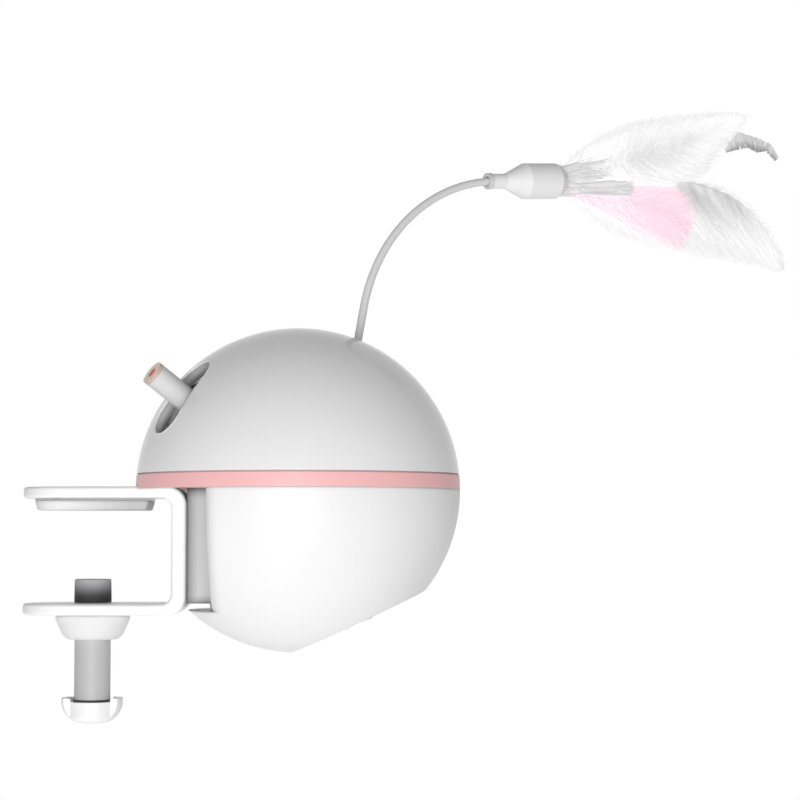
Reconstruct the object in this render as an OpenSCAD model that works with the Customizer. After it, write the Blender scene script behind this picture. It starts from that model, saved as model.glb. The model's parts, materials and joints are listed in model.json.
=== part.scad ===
// Automatic cat feather toy: a ball with a turning dome, a tilting light tube, a springy feather wand
// and a screw clamp for a table edge. Millimetres, +Z up, +X from the clamp to the ball.
// The origin is the middle of the jaw pad's lower face, where the table top lies.

/* [Ball] */
// Outer radius of the ball
ball_r = 50; // [48:0.5:54]
// Wall of the dome and of the lower shell
shell_wall = 2.2; // [1.8:0.1:2.6]
// Height of the trim ring's lower edge above the ball's centre
ring_low = 0.1; // [0.1:0.1:0.5]
// Height of the trim ring
ring_h = 4.3; // [4.1:0.1:4.8]
// Gap between the trim ring and the turning dome
turn_gap = 0.4; // [0.3:0.1:0.8]
// Depth of the flat clamp wall inside the ball's side
flat_cut = 24.8; // [24:0.1:25.5]
// Height of the upper jaw's top above the ball's centre
jaw_rise = 0.8; // [0.7:0.1:1.2]
// Depth of the clamp pocket's floor below the lower jaw's upper face
pocket_drop = 2; // [1.8:0.1:3]
// Radius in the corners of the clamp pocket
pocket_r = 4; // [2:0.5:6]
// Radius of the ball's edge round the clamp wall
edge_round = 6; // [4:0.5:7]

/* [Deck and drive] */
// Gap between the upper jaw and the deck
deck_lift = 0.4; // [0.3:0.05:0.6]
// Thickness of the deck
deck_t = 2.5; // [2:0.1:2.6]
// Radial gap between the deck and the trim ring
deck_gap = 0.1; // [0.05:0.05:0.3]
// Radial width of the trim ring at its seat
ring_w = 3.4; // [3:0.1:4]
// Radius of the dome's spindle
spindle_r = 6; // [5:0.25:6.5]
// Radius of the wire way through the spindle
wire_r = 4; // [3:0.25:4.25]
// Thickness of the thrust washer
washer_t = 0.4; // [0.3:0.1:0.6]
// Gear module, the pitch diameter for each tooth
gear_module = 0.8; // [0.7:0.05:0.9]
// Teeth on the dome's gear
gear_teeth = 48; // [44:1:50]
// Teeth on the motor's pinion
pinion_teeth = 12; // [11:1:14]
// Face width of the gears
gear_t = 3.2; // [2.5:0.1:3.4]
// Tooth thinning that gives the gears their backlash
backlash = 0.2; // [0.1:0.05:0.3]
// Direction of the motor from the ball's axis, in degrees
motor_dir = 90; // [80:1:100]
// Width of the drive motor
motor_w = 12; // [10:0.5:13]
// Depth of the drive motor
motor_d = 10; // [8:0.5:11]
// Length of the motor's gearbox
gearbox_l = 9; // [8:0.5:11]
// Length of the motor's can
can_l = 15; // [12:0.5:17]
// Radius of the motor's shaft
shaft_r = 1.5; // [1:0.1:2]
// Radius of the battery cell
cell_r = 7; // [6:0.25:7.5]
// Length of the battery cell
cell_l = 48; // [40:1:50]

/* [Head] */
// Turn of the dome at rest, in degrees
head_turn = 30; // [0:1:45]
// Thickness of the turntable
table_t = 2; // [1.6:0.1:2.4]
// Gap between the turntable and the dome
table_gap = 2.4; // [1.5:0.1:4]
// Distance of the turntable's screws from its edge
table_screw_inset = 6.1; // [5.5:0.1:7]

/* [Light tube] */
// Rise of the light tube above level, in degrees
laser_rise = 35; // [34:0.5:37]
// Tilt of the light tube each way, in degrees
laser_tilt = 12; // [6:1:12]
// Outer radius of the light tube
tube_r = 3.8; // [3.6:0.05:4.2]
// Wall of the light tube
tube_wall = 1; // [0.8:0.1:1.1]
// Reach of the tube's front beyond the ball
tube_out = 10.4; // [8:0.2:13]
// Depth of the tilt pivot inside the ball
pivot_depth = 26; // [25:0.5:26.5]
// Width of the slot in the dome
slot_w = 16; // [15:0.5:16.5]
// Length of the slot in the dome
slot_l = 27.5; // [27:0.5:29]
// Gap between the drum that closes the slot and the dome
drum_gap = 2.3; // [2.1:0.1:2.8]
// Thickness of the drum
drum_t = 1.8; // [1.4:0.1:2.2]
// Radius of the tilt pin
pin_r = 1.5; // [1.2:0.1:1.8]

/* [Wand] */
// Distance of the wand's mouth from the ball's axis
wand_out = 20.6; // [19.5:0.1:21]
// Lean of the wand's foot away from upright, in degrees
wand_lean = 11.4; // [10:0.1:13]
// Radius of the wand's rod
rod_r = 1.3; // [1.1:0.05:1.45]
// Straight length of the rod above the dome
rod_straight = 12.6; // [11:0.2:15]
// Radius of the rod's bend
bend_r = 55; // [50:0.5:58]
// Rise of the rod's end above level, in degrees
end_rise = 4.5; // [0:0.5:6]
// Depth of the rod in its socket
rod_plug = 16; // [14:0.5:18]
// Length of the rod beyond its bend
rod_tail = 11; // [10:0.5:12]
// Outer radius of the wand's socket
socket_r = 4; // [3.5:0.1:4.5]
// Height of the socket's lip above the dome
socket_lip = 0.6; // [0.4:0.1:1]

/* [Feather holder] */
// Outer radius of the holder's sleeve
sleeve_r = 2.45; // [2.35:0.05:2.8]
// Length of the holder's sleeve
sleeve_l = 6.9; // [6:0.1:7.5]
// Length of the sleeve round the end of the rod's bend
sleeve_lap = 3.6; // [3:0.1:4]
// Outer radius of the holder's bell
bell_r = 5.9; // [5.4:0.05:6.4]
// Length of the cone between the sleeve and the bell
cone_l = 7.5; // [6:0.1:9]
// Length of the bell's straight part
bell_l = 12.1; // [11:0.1:14]
// Length of the bell's tapered mouth
mouth_l = 2.8; // [2:0.1:4]
// Outer radius at the end of the mouth
mouth_r = 4.2; // [4.15:0.05:4.4]
// Radius of the hollow that takes the quills
hollow_r = 3.6; // [3.4:0.05:3.7]
// Thickness of the feathers along their shafts
feather_t = 1.2; // [0.8:0.1:1.4]
// Spacing of the feathers side by side
feather_pitch = 1.6; // [1.5:0.05:1.7]

/* [Clamp] */
// Width of the clamp bracket
jaw_w = 25; // [24.5:0.5:27]
// Thickness of the jaws
jaw_t = 3.5; // [3.2:0.1:3.6]
// Thickness of the bracket's back
back_t = 4.4; // [4:0.1:4.8]
// Length of the neck between the bracket and the ball
neck_l = 8.5; // [8:0.1:10]
// Distance from the screw's axis to the bracket's back
throat = 25.2; // [25:0.1:25.8]
// Distance from the screw's axis to the jaws' tips
jaw_reach = 21.5; // [21:0.1:23]
// Height between the jaws
jaw_gap = 32.2; // [31.5:0.1:32.6]
// Outer corner radius of the bracket
corner_out = 5.6; // [5.2:0.1:6]
// Inner corner radius of the bracket
corner_in = 3.1; // [2:0.1:4]
// Height of the land that carries the jaw pad
land_h = 0.8; // [0.6:0.1:1]
// Thickness of the jaw pad
pad_h = 2.9; // [2.7:0.1:3]
// Length of the jaw pad at its seat
pad_l = 36; // [34:0.5:38]
// Width of the jaw pad at its seat
pad_w = 20; // [18:0.5:21]
// Draft of the jaw pad's sides, in degrees
pad_draft = 15; // [5:1:20]
// Radius of the clamp screw
screw_r = 5.55; // [5:0.05:5.8]
// Travel of the clamp screw
screw_travel = 17.6; // [14:0.2:18]
// Height of the conical collar
collar_h = 7.6; // [7:0.1:9]
// Largest radius of the collar
collar_top_r = 11.5; // [11:0.05:12]
// Radius at the bottom of the collar
collar_low_r = 9.3; // [8.5:0.05:10]
// Height of the rubber tip
tip_h = 7.1; // [6.5:0.1:7.5]
// Radius at the foot of the rubber tip
tip_r = 5.75; // [5.7:0.05:6.2]
// Outer radius of the knob
knob_r = 9.4; // [9:0.05:10.4]
// Height of the knob
knob_h = 7.7; // [7.2:0.1:8.4]
// Thickness of the knob's wings
wing_t = 9; // [7:0.5:11]

/* [Control face] */
// Depth of the slanted control face inside the ball's surface
face_cut = 5.5; // [5:0.1:5.7]
// Tilt of the control face from straight down, in degrees
face_tilt = 24.7; // [22:0.1:27]
// Wall behind the control face
face_wall = 3.4; // [3.2:0.1:3.8]
// Width of the rim round the panel cover
panel_rim = 2.8; // [2.4:0.1:3.4]
// Thickness of the panel cover
panel_t = 1.6; // [1.4:0.1:1.8]
// Width of the ledge behind the panel cover
panel_ledge = 5.4; // [5:0.1:5.8]
// Gap between the circuit board's corners and the opening
board_gap = 0.45; // [0.3:0.05:1]
// Distance from the control face to the circuit board
board_depth = 10; // [9.5:0.1:10.5]
// Radius of the power button
button_r = 4.5; // [4:0.1:4.6]
// Travel of the power button
button_travel = 0.8; // [0.5:0.1:1]
// Height of the power button above the panel
button_proud = 0.7; // [0.4:0.1:0.9]

/* [Fits] */
// Radial running clearance of turning and sliding fits
run_fit = 0.06; // [0.04:0.01:0.1]
// Clearance of seated pieces
seat_fit = 0.05; // [0.02:0.01:0.1]
// Clearance between pieces that pass one another
pass_gap = 0.3; // [0.25:0.05:0.5]

/* [Hidden] */
$fn = 96;
far = 4 * ball_r;
cut = 0.5;

// Clamp levels, from the jaw pad's lower face
land_low = pad_h;
jaw_low = pad_h + land_h;
jaw_top = jaw_low + jaw_t;
lower_jaw_top = jaw_low - jaw_gap;
lower_jaw_low = lower_jaw_top - jaw_t;
back_out = throat + back_t;
tip_low = lower_jaw_top + pass_gap;
tip_top = tip_low + tip_h;
tip_wall = 2;
spigot_step = 2;
spigot_r = screw_r - spigot_step;
spigot_top = tip_top - tip_wall;
collar_low = lower_jaw_low - collar_h;
horn_top = collar_low - pass_gap - screw_travel;
knob_low = horn_top - knob_h;
dish_depth = 1.1;
knob_wall = 2;
rod_grip = 3;
rod_foot = horn_top - dish_depth - rod_grip;

// Ball place and levels, the levels from the ball's centre
flat_x = ball_r - flat_cut;
ball_x = back_out + neck_l + flat_x;
ball_z = jaw_top - jaw_rise;
pocket_floor = ball_z - lower_jaw_top + pocket_drop;
inner_r = ball_r - shell_wall;
ring_top = ring_low + ring_h;
dome_low = ring_top + turn_gap;
ring_in = ball_r - ring_w;
deck_r = ring_in - deck_gap;
deck_low = jaw_rise + deck_lift;
deck_top = deck_low + deck_t;
quarters = [45, 135, 225, 315];
thirds = [0, 120, 240];

// Clamp fastening
neck_in = ball_x - flat_x;
neck_w = 18;
neck_round = 3;
neck_margin = 0.4;
bolt_drop = 9.7;
bolt_r = 1.5;
bolt_head_r = 3.2;
bolt_head_h = 2;
bolt_boss_r = 3.5;
bolt_boss_l = 8;
bolt_inset = 8.5;
bolt_spare = 1;
bolt_levels = [-bolt_drop, lower_jaw_top - ball_z + bolt_inset];

// Deck posts and small screws
post_r = 3;
post_inset = 6.8;
post_ring = inner_r - post_inset;
post_dirs = [45, 126, 234, 315];
screw_core = 1;
screw_head = 2.2;
screw_head_h = 1.2;
screw_bite = 6;
screw_spare = 1;
screw_sink = 0.2;

// Drive
flange_r = 9.5;
flange_t = 1;
flange_top = deck_top + flange_t;
hub_low = flange_top + washer_t;
bush_wall = 2;
bush_r = spindle_r + bush_wall;
hub_wall = 2;
hub_r = bush_r + hub_wall;
table_low = hub_low + gear_t;
table_top = table_low + table_t;
table_r = sqrt(inner_r * inner_r - table_top * table_top) - table_gap;
table_screw_r = table_r - table_screw_inset;
hub_over = 3;
hub_top = table_top + hub_over;
notch_gap = 1;
clip_t = 1;
clip_gap = 0.15;
groove_depth = 0.9;
clip_low = hub_top + clip_gap;
clip_r = bush_r;
stem_over = 1.3;
stem_top = clip_low + clip_t + stem_over;
spindle_bolt_ring = 7.8;
gear_r = gear_module * gear_teeth / 2;
pinion_r = gear_module * pinion_teeth / 2;
motor_out = gear_r + pinion_r;
mesh_step = (motor_dir - head_turn) * gear_teeth / 360;
mesh_share = mesh_step - round(mesh_step);
pinion_phase = motor_dir + 180 + (180 + 360 * mesh_share) / pinion_teeth;
pressure = 20;
dedendum = 1.25;
flank_steps = 3;
shaft_sink = 4;
shaft_room = 1;
strap_t = 1.5;
strap_inset = 1;
ear_l = 6;
cell_y = -14;
cell_mid = 4;
cell_z = -12;
clip_wall = 1.6;
clip_w = 6;
clip_mouth = 10;
clip_out = flange_r + pass_gap + clip_w / 2;
slip_r = wire_r - seat_fit;
slip_tail = 8;
slip_cap_r = spindle_r - pass_gap;
slip_cap_t = 1;
bridge_gap = 0.3;
bridge_t = 2.4;
bridge_w = 7;
bridge_out = 17;
bridge_foot = 5;

// Light tube
pivot_dist = ball_r - pivot_depth;
tube_tip = ball_r + tube_out;
drum_r = inner_r - pivot_dist - drum_gap;
pivot_pos = [-pivot_dist * cos(laser_rise), 0, pivot_dist * sin(laser_rise)];
slot_half = slot_l / 2;
rim_w = 1.2;
rim_gap = 0.5;
slot_edge = asin(slot_half / inner_r);
slot_span = atan2(inner_r * sin(slot_edge), inner_r * cos(slot_edge) - pivot_dist);
drum_spare = 1;
drum_half = slot_span + laser_tilt + drum_spare;
drum_lap = 2;
drum_w = slot_w + 2 * drum_lap;
cheek_t = 1.6;
boss_wall = 2;
hub_boss_r = pin_r + boss_wall;
yoke_gap = 0.4;
yoke_t = 2.5;
yoke_in = drum_w / 2 + yoke_gap;
yoke_w = 7;
pin_head_r = 2.4;
pin_head_t = 0.8;
tube_sink = 7;
tube_back = drum_r - tube_sink;
tube_front = tube_tip - pivot_dist;
bezel_t = 1;
lens_r = 1.5;
lens_t = 0.8;
lens_sink = 0.1;
module_l = 14;

// Wand and holder
wand_z = sqrt(ball_r * ball_r - wand_out * wand_out);
bend_sweep = 90 - wand_lean - end_rise;
bend_thin = 0.03;
bend_lap = 0.5;
bend_end = [bend_r * (1 - cos(bend_sweep)), 0, rod_straight + bend_r * sin(bend_sweep)];
socket_len = (wand_z - table_top) / cos(wand_lean);
socket_foot_r = 6;
socket_foot_t = 2;
relief_gap = 0.5;
relief_r = rod_r + relief_gap;
collar_ring_l = 1.5;
collar_ring_t = 0.45;
sleeve_low = -sleeve_lap;
cone_low = sleeve_l - sleeve_lap;
cone_end = cone_low + cone_l;
bell_end = cone_end + bell_l;
mouth_end = bell_end + mouth_l;
plug_t = 4;
hollow_l = 8;
hollow_low = mouth_end - hollow_l;
quill_start = hollow_low + plug_t + seat_fit;

// Feathers: shaft curves in the wand's plane, from the bend's end, along the rod and upwards
upper_curve = [[0, 0.6], [28, 4], [56, 13], [83, 22.5]];
upper_vane = [13.5, 13];
upper_side = -0.5;
lower_curve = [[0, -0.6], [38, 1], [86, 8], [97, -31]];
lower_vane = [1.5, 23];
lower_side = 0.5;
pink_curve = [[0, -0.2], [20, -4], [40, -9.5], [59, -15]];
pink_vane = [10, 10];
pink_side = -1.5;
tip_curve = [[0, 0.2], [36, 5], [76, 23], [97.5, 9]];
tip_vane = [3.5, 3.5];
tip_side = 1.5;
quill_bare = 0.0625;
vane_edge = 0.3;
quill_half = 0.5;
feather_steps = 16;
vane_lead = 0.72;
vane_round = 0.7;

// Control face
face_dist = ball_r - face_cut;
face_r = sqrt(ball_r * ball_r - face_dist * face_dist);
panel_r = face_r - panel_rim;
panel_open_r = panel_r - panel_ledge;
board_w = (panel_open_r - board_gap) * sqrt(2);
port_w = 8.9;
port_h = 3.2;
port_wall = 0.35;
port_at = [0, 5.2];
port_sink = 0.4;
port_floor = 1;
tongue_w = 6.7;
tongue_h = 0.7;
tongue_l = 6;
button_at = [0, -4.6];
button_lip = 0.8;
button_lip_t = 1.2;
button_foot = 1.2;
light_at = [7.3, 0];
light_r = 1.25;
pillar_inset = 2;
pillar_at = board_w / 2 - pillar_inset;
pillar_r = 1.7;
pillar_bore = 4.5;
board_t = 1.2;
panel_screw_ring = (panel_r + panel_open_r) / 2;
panel_screw_head = 1.5;
panel_screw_core = 0.8;
panel_screw_l = 2;
board_screw_l = 4;
small_head_h = 0.8;
panel_screw_dirs = [90, 210, 330];
switch_w = 6;
plunger_r = 1.6;
plunger_gap = 0.3;
plunger_out = 1.7;

// Places
module at_ball() { translate([ball_x, 0, ball_z]) children(); }
module at_head() { at_ball() rotate([0, 0, head_turn]) children(); }
module at_face() { at_ball() rotate([0, 180 - face_tilt, 0]) translate([0, 0, face_dist]) children(); }
module at_motor() { at_ball() rotate([0, 0, motor_dir]) translate([motor_out, 0, 0]) children(); }
module at_pivot() { at_head() translate(pivot_pos) rotate([0, laser_rise - 90, 0]) children(); }
module at_wand() { at_head() translate([wand_out, 0, wand_z]) rotate([0, wand_lean, 0]) children(); }
module at_holder() { at_wand() translate(bend_end) rotate([0, bend_sweep, 0]) children(); }
module around(dirs, radius) { for (dir = dirs) rotate([0, 0, dir]) translate([radius, 0, 0]) children(); }

// Shapes that repeat
module above(level) { translate([-far, -far, level]) cube([2 * far, 2 * far, far]); }
module below(level) { translate([-far, -far, level - far]) cube([2 * far, 2 * far, far]); }
module ring(outer, inner, height) {
    difference() {
        cylinder(r = outer, h = height);
        translate([0, 0, -cut]) cylinder(r = inner, h = height + 2 * cut);
    }
}
module rounded(width, height, radius) {
    translate([radius, 0]) square([width - 2 * radius, height]);
    translate([0, radius]) square([width, height - 2 * radius]);
    for (x = [radius, width - radius], y = [radius, height - radius]) translate([x, y]) circle(radius);
}
module stadium(length, width) {
    square([length - width, width], center = true);
    for (side = [-1, 1]) translate([side * (length - width) / 2, 0]) circle(d = width);
}
module pan_screw(head_r, head_h, core_r, length) {
    cylinder(r = head_r, h = head_h);
    translate([0, 0, -length]) cylinder(r = core_r, h = length + cut);
}

// Involute gear outline
function involute(base, angle) = base * [
    cos(angle) + angle * PI / 180 * sin(angle),
    sin(angle) - angle * PI / 180 * cos(angle)
];
function roll_angle(base, radius) = sqrt(max(0, radius * radius / (base * base) - 1)) * 180 / PI;
function polar(radius, angle) = radius * [cos(angle), sin(angle)];
function spin(point, angle) = [
    point[0] * cos(angle) - point[1] * sin(angle),
    point[0] * sin(angle) + point[1] * cos(angle)
];
function flip(point) = [point[0], -point[1]];
function half_tooth(teeth) =
    90 / teeth - backlash / 2 / (gear_module * teeth / 2) * 180 / PI + tan(pressure) * 180 / PI - pressure;
function flank(teeth, steps) =
    let (
        pitch = gear_module * teeth / 2,
        base = pitch * cos(pressure),
        root = pitch - dedendum * gear_module,
        last = roll_angle(base, pitch + gear_module),
        first = roll_angle(base, max(base, root))
    )
    [for (i = [0:steps]) spin(involute(base, first + (last - first) * i / steps), -half_tooth(teeth))];
function tooth(teeth) =
    let (
        side = flank(teeth, flank_steps),
        count = len(side),
        root = (gear_module * teeth / 2) - dedendum * gear_module,
        foot = polar(root, atan2(side[0][1], side[0][0]))
    )
    concat([foot], side, [for (i = [count - 1:-1:0]) flip(side[i])], [flip(foot)]);
function gear_points(teeth) = [
    for (i = [0:teeth - 1], point = tooth(teeth)) spin(point, 360 * i / teeth)
];
module gear(teeth, height) { linear_extrude(height) polygon(gear_points(teeth)); }

// Feather solids: a diamond section swept along a shaft curve
function along(curve, t) =
    pow(1 - t, 3) * curve[0] + 3 * pow(1 - t, 2) * t * curve[1]
    + 3 * (1 - t) * t * t * curve[2] + pow(t, 3) * curve[3];
function heading(curve, t) =
    let (
        step = 3 * pow(1 - t, 2) * (curve[1] - curve[0]) + 6 * (1 - t) * t * (curve[2] - curve[1])
            + 3 * t * t * (curve[3] - curve[2])
    )
    step / norm(step);
function vane_share(t) =
    t <= quill_bare ? 0 : pow(sin(180 * pow((t - quill_bare) / (1 - quill_bare), vane_lead)), vane_round);
function feather_ring(curve, vane, t) =
    let (
        mid = along(curve, t),
        ahead = heading(curve, t),
        up = [-ahead[1], ahead[0]],
        share = vane_share(t),
        top = mid + up * (quill_half + vane[0] * share),
        low = mid - up * (quill_half + vane[1] * share),
        half = vane_edge + (feather_t / 2 - vane_edge) * (1 - t)
    )
    [[-top[1], 0, top[0]], [-mid[1], half, mid[0]], [-low[1], 0, low[0]], [-mid[1], -half, mid[0]]];
module feather(curve, vane, side) {
    rings = [for (i = [0:feather_steps]) feather_ring(curve, vane, i / feather_steps)];
    points = [for (section = rings, point = section) point];
    walls = [
        for (i = [0:feather_steps - 1], j = [0:3])
            let (a = 4 * i + j, b = 4 * i + (j + 1) % 4)
            each [[a, b, a + 4], [b, b + 4, a + 4]]
    ];
    last = 4 * feather_steps;
    caps = [[0, 2, 1], [0, 3, 2], [last, last + 1, last + 2], [last, last + 2, last + 3]];
    at_holder() translate([0, side * feather_pitch, quill_start]) polyhedron(points, concat(walls, caps));
}

// Base of the ball
module clamp_pocket(grow) {
    // The part of the ball that is cut away for the clamp, grown by a wall for the hollow inside
    low = -pocket_floor - grow;
    corner = pocket_r + grow;
    edge = -flat_x + grow;
    rotate([90, 0, 0]) linear_extrude(2 * far, center = true) {
        translate([edge - far, low + corner]) square([far, far]);
        translate([edge - far, low]) square([far - corner, far]);
        translate([edge - corner, low + corner]) circle(corner);
    }
}
module rounded_side() {
    // All that lies beyond the clamp wall, its edge rounded into the ball, and all below the pocket's floor
    reach = ball_r - edge_round;
    mid = flat_x - edge_round;
    out = sqrt(reach * reach - mid * mid);
    rotate([0, 90, 0]) rotate_extrude() {
        translate([0, -flat_x - cut]) square([out, far]);
        translate([0, -mid * ball_r / reach]) square([far, far]);
        translate([out, -mid]) circle(edge_round);
    }
    below(-pocket_floor);
}
module lower_shell() {
    color("white") {
        difference() {
            intersection() {
                at_ball() sphere(ball_r);
                at_ball() below(ring_low);
                at_ball() rounded_side();
                at_face() below(0);
            }
            at_ball() clamp_pocket(0);
            difference() {
                at_ball() sphere(inner_r);
                at_ball() clamp_pocket(shell_wall);
                at_face() above(-face_wall);
                at_ball() around(post_dirs, post_ring) below_post();
                for (level = bolt_levels) at_bolt(level)
                    cylinder(r = bolt_boss_r, h = bolt_boss_l + shell_wall);
            }
            at_ball() around(post_dirs, post_ring) translate([0, 0, -screw_bite])
                cylinder(r = screw_core + seat_fit, h = far);
            for (level = bolt_levels) at_bolt(level) translate([0, 0, -cut])
                cylinder(r = bolt_r + seat_fit, h = bolt_boss_l + cut);
            at_face() translate([0, 0, -panel_t]) cylinder(r = panel_r + seat_fit, h = panel_t + cut);
            at_face() translate([0, 0, -face_wall - cut])
                cylinder(r = panel_open_r, h = face_wall + 2 * cut);
            at_face() around(panel_screw_dirs, panel_screw_ring) translate([0, 0, -face_wall - cut])
                cylinder(r = panel_screw_core + seat_fit, h = face_wall + 2 * cut);
        }
        difference() {
            at_ball() around(post_dirs, post_ring) translate([0, 0, ring_low - cut])
                cylinder(r = post_r, h = deck_low - ring_low + cut);
            at_ball() clamp_pocket(0);
            at_ball() around(post_dirs, post_ring) translate([0, 0, -screw_bite])
                cylinder(r = screw_core + seat_fit, h = far);
        }
    }
}
module below_post() { translate([0, 0, -far]) cylinder(r = post_r, h = far + ring_low); }
module at_bolt(level) { translate([neck_in, 0, ball_z + level]) rotate([0, 90, 0]) children(); }
module trim_ring() {
    color("pink") difference() {
        at_ball() intersection() {
            sphere(ball_r);
            translate([0, 0, ring_low]) ring(far, ring_in, ring_h);
        }
        translate([0, -jaw_w / 2 - pass_gap, 0]) cube([neck_in, jaw_w + 2 * pass_gap, jaw_top + pass_gap]);
    }
}
module base_deck() {
    color("gainsboro") at_ball() difference() {
        translate([0, 0, deck_low]) cylinder(r = deck_r, h = deck_t);
        cylinder(r = wire_r, h = far);
        around(post_dirs, post_ring) cylinder(r = screw_core + seat_fit, h = far);
        rotate([0, 0, motor_dir]) translate([motor_out, 0, 0]) cylinder(r = shaft_r + pass_gap, h = far);
        rotate([0, 0, motor_dir]) translate([motor_out, 0, 0]) strap_ears()
            cylinder(r = screw_core + seat_fit, h = far);
        around(thirds, spindle_bolt_ring) cylinder(r = panel_screw_core + seat_fit, h = far);
    }
}
module deck_screws() {
    color("silver") at_ball() around(post_dirs, post_ring) translate([0, 0, deck_top])
        pan_screw(screw_head, screw_head_h, screw_core, deck_top + screw_bite - screw_spare);
}

// Clamp
module jaw_plan() {
    // The jaws' outline from above, with round tips
    translate([jaw_w / 2 - jaw_reach, 0]) circle(d = jaw_w);
    translate([jaw_w / 2 - jaw_reach, -jaw_w / 2]) square([jaw_reach + back_out - jaw_w / 2, jaw_w]);
}
module jaw_profile() {
    // The bracket's outline from the side, open towards the table
    height = jaw_top - lower_jaw_low;
    difference() {
        translate([back_out - far, lower_jaw_low]) rounded(far, height, corner_out);
        translate([throat - 2 * far, lower_jaw_top]) rounded(2 * far, jaw_gap, corner_in);
    }
}
module pad_plan(inset) {
    // Round towards the jaws' tips, square towards the back
    radius = pad_w / 2 - inset;
    middle = (pad_w - pad_l) / 2;
    translate([middle, 0]) circle(radius);
    translate([middle, -radius]) square([pad_l / 2 - inset - middle, 2 * radius]);
}
module clamp_bracket() {
    color("white") difference() {
        union() {
            intersection() {
                rotate([90, 0, 0]) linear_extrude(jaw_w, center = true) jaw_profile();
                translate([0, 0, -far]) linear_extrude(2 * far) jaw_plan();
            }
            translate([0, 0, land_low]) linear_extrude(land_h) pad_plan(0);
        }
        translate([0, 0, lower_jaw_low - cut]) cylinder(r = screw_r + run_fit, h = jaw_t + 2 * cut);
        for (level = bolt_levels) translate([throat, 0, ball_z + level]) rotate([0, 90, 0]) {
            translate([0, 0, -cut]) cylinder(r = bolt_r + seat_fit, h = back_t + 2 * cut);
            translate([0, 0, -cut]) cylinder(r = bolt_head_r + seat_fit, h = bolt_head_h + cut);
        }
    }
}
module bracket_neck() {
    // Block between the bracket's back and the flat wall of the ball
    top = jaw_top - neck_margin;
    low = lower_jaw_top;
    color("whitesmoke") difference() {
        intersection() {
            translate([back_out, 0, 0]) rotate([90, 0, 90]) linear_extrude(neck_in - back_out)
                translate([-neck_w / 2, low]) rounded(neck_w, top - low, neck_round);
            at_ball() clamp_pocket(-seat_fit);
        }
        for (level = bolt_levels) translate([throat, 0, ball_z + level]) rotate([0, 90, 0])
            cylinder(r = bolt_r + seat_fit, h = far);
    }
}
module bracket_screws() {
    length = neck_in + bolt_boss_l - bolt_spare - throat - bolt_head_h;
    color("silver") for (level = bolt_levels) translate([throat + bolt_head_h, 0, ball_z + level])
        rotate([0, -90, 0]) pan_screw(bolt_head_r, bolt_head_h, bolt_r, length);
}
module jaw_pad() {
    // Rubber pad with drafted sides: a cone round its end, a wedge-sided bar and a slanted back
    shrink = pad_h * tan(pad_draft);
    half = pad_w / 2;
    middle = half - pad_l / 2;
    color("lightgray") difference() {
        union() {
            translate([middle, 0, 0]) cylinder(r1 = half - shrink, r2 = half, h = pad_h);
            translate([middle, 0, 0]) rotate([90, 0, 90]) linear_extrude(pad_l / 2 - middle)
                polygon([[shrink - half, 0], [half - shrink, 0], [half, pad_h], [-half, pad_h]]);
        }
        translate([pad_l / 2, 0, pad_h]) rotate([0, pad_draft, 0]) translate([0, -far, -far])
            cube([far, 2 * far, 2 * far]);
    }
}
module screw_collar() {
    shoulder = 1.2;
    foot = 1.5;
    bore = screw_r + run_fit;
    color("white") rotate_extrude() difference() {
        union() {
            translate([0, collar_low]) polygon([
                [0, 0], [collar_low_r - foot, 0], [collar_low_r, foot],
                [collar_top_r, collar_h - shoulder], [0, collar_h - shoulder]
            ]);
            translate([0, lower_jaw_low - shoulder]) square([collar_top_r - shoulder, shoulder]);
            intersection() {
                translate([collar_top_r - shoulder, lower_jaw_low - shoulder]) circle(shoulder);
                translate([0, lower_jaw_low - shoulder]) square([far, shoulder]);
            }
        }
        translate([0, collar_low - cut]) square([bore, collar_h + 2 * cut]);
    }
}
module tip_cap() {
    round_r = 0.5;
    taper = 0.15;
    top_r = tip_r - taper;
    color("dimgray") rotate_extrude() difference() {
        union() {
            translate([0, tip_low]) polygon([
                [0, 0], [tip_r, 0], [top_r, tip_h - round_r], [0, tip_h - round_r]
            ]);
            translate([0, tip_top - round_r]) square([top_r - round_r, round_r]);
            intersection() {
                translate([top_r - round_r, tip_top - round_r]) circle(round_r);
                translate([0, tip_top - round_r]) square([far, round_r]);
            }
        }
        translate([0, tip_low - cut]) square([spigot_r + run_fit, spigot_top - tip_low + run_fit + cut]);
    }
}
module clamp_rod() {
    color("silver") {
        translate([0, 0, rod_foot]) cylinder(r = screw_r, h = tip_low - run_fit - rod_foot);
        translate([0, 0, tip_low - run_fit - cut])
            cylinder(r = spigot_r, h = spigot_top - tip_low + run_fit + cut);
    }
}
module clamp_knob() {
    // Two horns on a bowl, with a low middle where the screw goes in
    base_r = 4.5;
    bowl_r = knob_h - dish_depth;
    hub = screw_r + knob_wall;
    color("white") difference() {
        intersection() {
            translate([0, 0, knob_low]) rotate_extrude() {
                square([knob_r - bowl_r, knob_h]);
                translate([0, bowl_r]) square([knob_r, knob_h - bowl_r]);
                intersection() {
                    translate([knob_r - bowl_r, bowl_r]) circle(bowl_r);
                    square([knob_r, bowl_r]);
                }
            }
            union() {
                translate([-far, -wing_t / 2, knob_low]) cube([2 * far, wing_t, knob_h]);
                translate([0, 0, knob_low]) cylinder(r = hub, h = knob_h);
                translate([0, 0, knob_low]) cylinder(r1 = base_r, r2 = hub, h = knob_h - dish_depth);
            }
        }
        translate([0, 0, horn_top - dish_depth]) cylinder(r = hub, h = far);
        translate([0, 0, rod_foot - seat_fit]) cylinder(r = screw_r + seat_fit, h = far);
    }
}

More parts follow.
